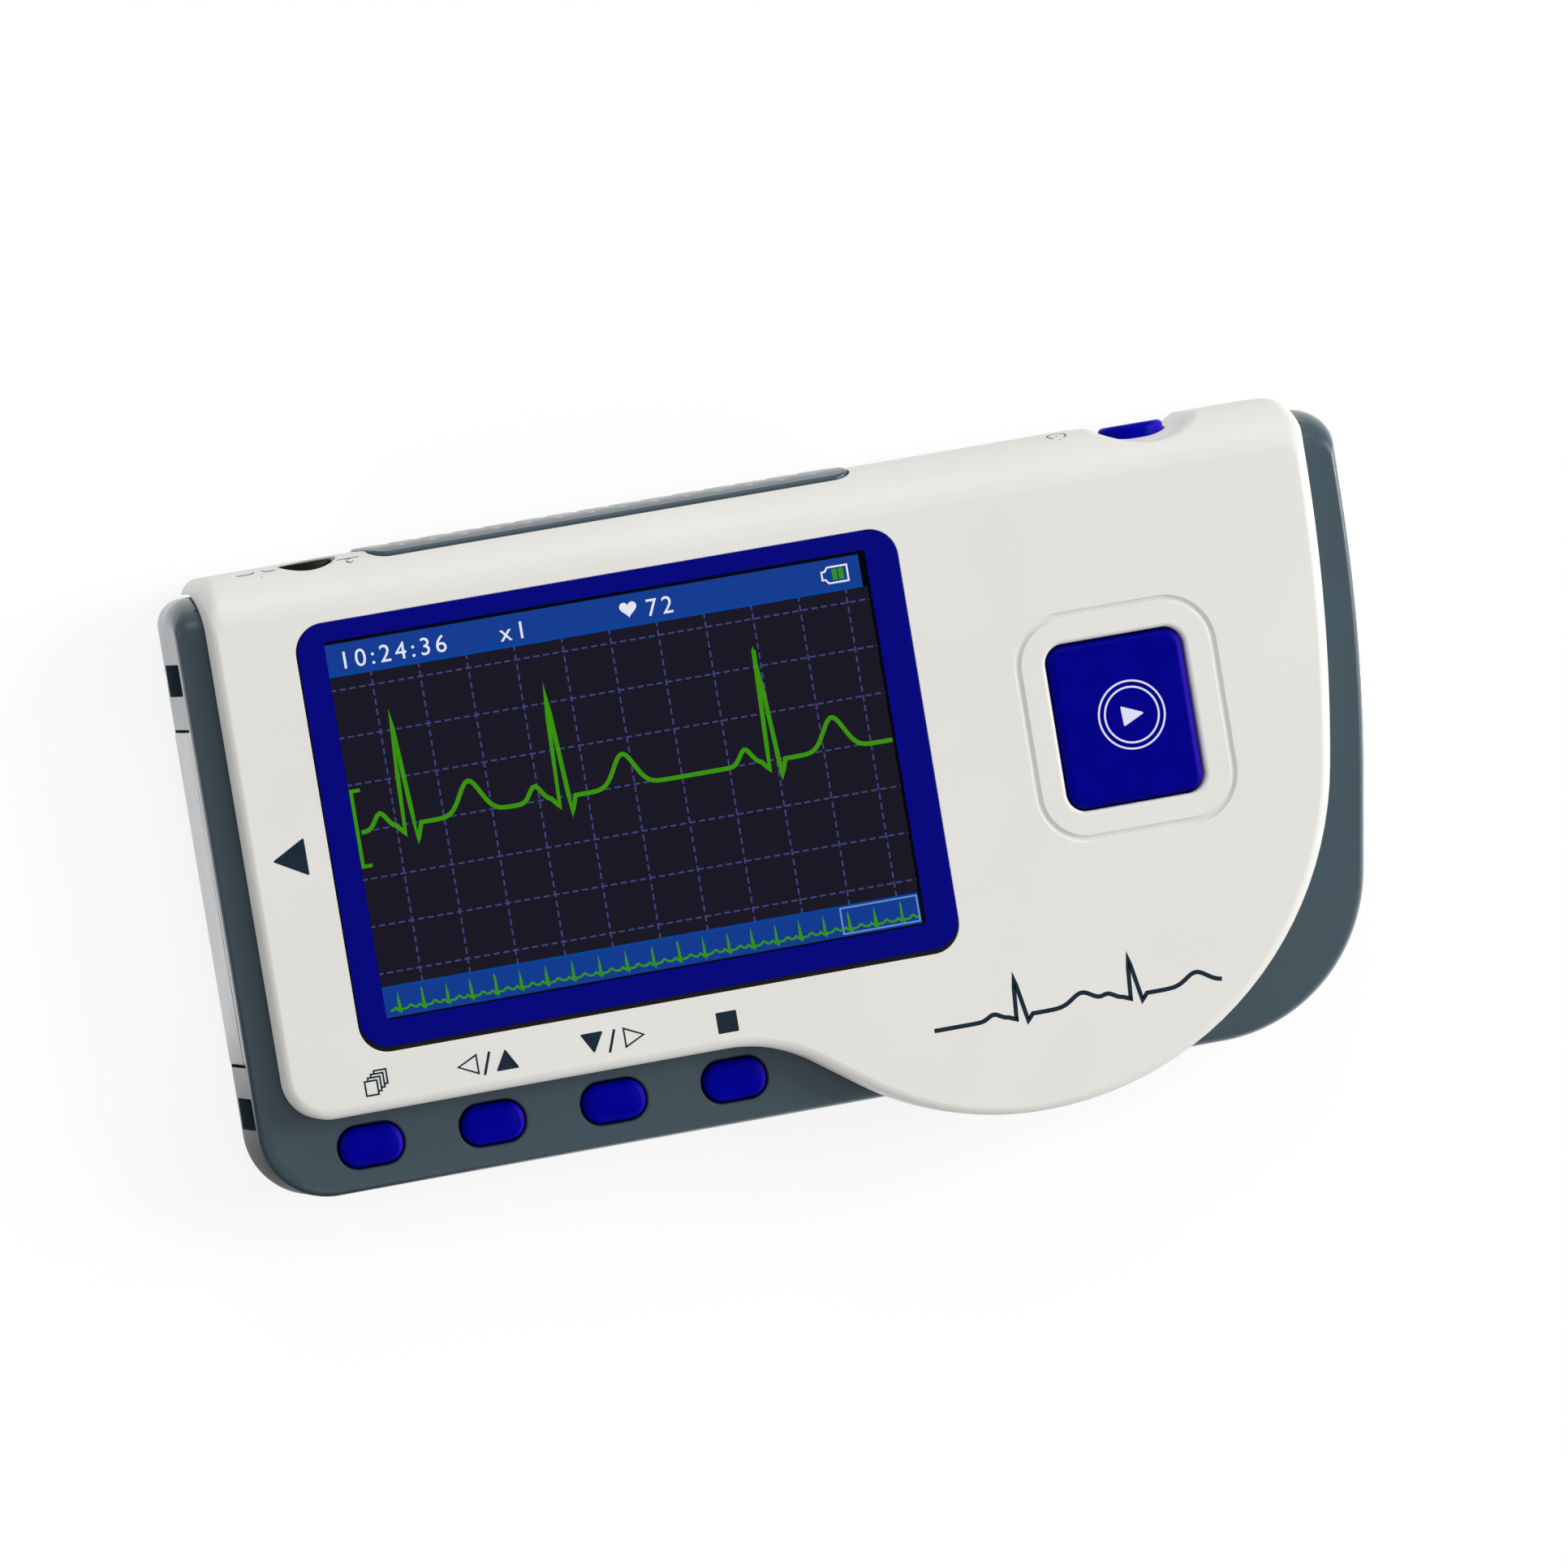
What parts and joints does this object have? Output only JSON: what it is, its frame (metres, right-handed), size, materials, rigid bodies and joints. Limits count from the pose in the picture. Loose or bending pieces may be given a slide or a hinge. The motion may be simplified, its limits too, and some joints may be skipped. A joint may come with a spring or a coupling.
{
  "type": "portable ecg machine",
  "caption": "Hand-held heart recorder with a screen, front keys, a power button, electrode plates at its ends and a battery door that slides off.",
  "frame": {"origin": "middle of the overall box, on the plane that the back rests on", "axes": "+X along the length to the end with the start key, +Y to the side with the power button and the battery door's lip, +Z out of the screen"},
  "size_m": [0.1366, 0.0754, 0.0181],
  "materials": {
    "cover_plastic": "fine satin moulding",
    "case_plastic": "fine matte moulding",
    "blue_plastic": "smooth, slightly glossy",
    "clear_acrylic": "polished, clear",
    "display_glass": "smooth display glass",
    "white_plastic": "plain",
    "flat_cable": "smooth film",
    "circuit_board": "solder mask",
    "plated_steel": "bright plating",
    "black_plastic": "plain",
    "cell_wrap": "plain dark wrap"
  },
  "bodies": {
    "recorder": {"front_cover": "cover_plastic", "rear_case": "case_plastic", "screen_lens": "clear_acrylic", "window_mask": "blue_plastic", "lcd_panel": "display_glass", "backlight_tray": "white_plastic", "display_flex": "flat_cable", "flex_connector": "white_plastic", "main_board": "circuit_board", "start_switch": "plated_steel", "menu_switch": "plated_steel", "up_switch": "plated_steel", "down_switch": "plated_steel", "stop_switch": "plated_steel", "power_switch": "plated_steel", "lead_jack": "black_plastic", "left_electrode": "plated_steel", "right_electrode": "plated_steel", "rear_electrode": "plated_steel", "left_contact": "plated_steel", "right_contact": "plated_steel", "rear_contact": "plated_steel", "battery_1": "cell_wrap", "battery_2": "cell_wrap", "cell_spring_1": "plated_steel", "cell_spring_2": "plated_steel", "bridge_contact": "plated_steel", "positive_contact": "plated_steel", "negative_contact": "plated_steel", "shield_can": "plated_steel", "processor": "black_plastic", "memory_chip": "black_plastic", "lead_amplifier": "black_plastic", "buzzer": "black_plastic", "case_screw_1": "plated_steel", "case_screw_2": "plated_steel", "case_screw_3": "plated_steel", "case_screw_4": "plated_steel"},
    "door": {"battery_door": "case_plastic"},
    "start": {"start_key": "blue_plastic", "start_plunger": "black_plastic"},
    "menu": {"menu_key": "blue_plastic", "menu_plunger": "black_plastic"},
    "up": {"up_key": "blue_plastic", "up_plunger": "black_plastic"},
    "down": {"down_key": "blue_plastic", "down_plunger": "black_plastic"},
    "stop": {"stop_key": "blue_plastic", "stop_plunger": "black_plastic"},
    "power": {"power_button": "blue_plastic", "power_plunger": "black_plastic"}
  },
  "joints": [
    {"name": "door_slide", "type": "slide", "parent": "recorder", "child": "door", "axis": [0, 1, 0], "range_m": [0, 0.026]},
    {"name": "start_press", "type": "slide", "parent": "recorder", "child": "start", "axis": [0, 0, -1], "range_m": [0, 0.0008], "stiffness_N_per_m": 2000},
    {"name": "menu_press", "type": "slide", "parent": "recorder", "child": "menu", "axis": [0, 0, -1], "range_m": [0, 0.0006], "stiffness_N_per_m": 2500},
    {"name": "up_press", "type": "slide", "parent": "recorder", "child": "up", "axis": [0, 0, -1], "range_m": [0, 0.0006], "stiffness_N_per_m": 2500},
    {"name": "down_press", "type": "slide", "parent": "recorder", "child": "down", "axis": [0, 0, -1], "range_m": [0, 0.0006], "stiffness_N_per_m": 2500},
    {"name": "stop_press", "type": "slide", "parent": "recorder", "child": "stop", "axis": [0, 0, -1], "range_m": [0, 0.0006], "stiffness_N_per_m": 2500},
    {"name": "power_press", "type": "slide", "parent": "recorder", "child": "power", "axis": [0, -1, 0], "range_m": [0, 0.0005], "stiffness_N_per_m": 3000}
  ]
}
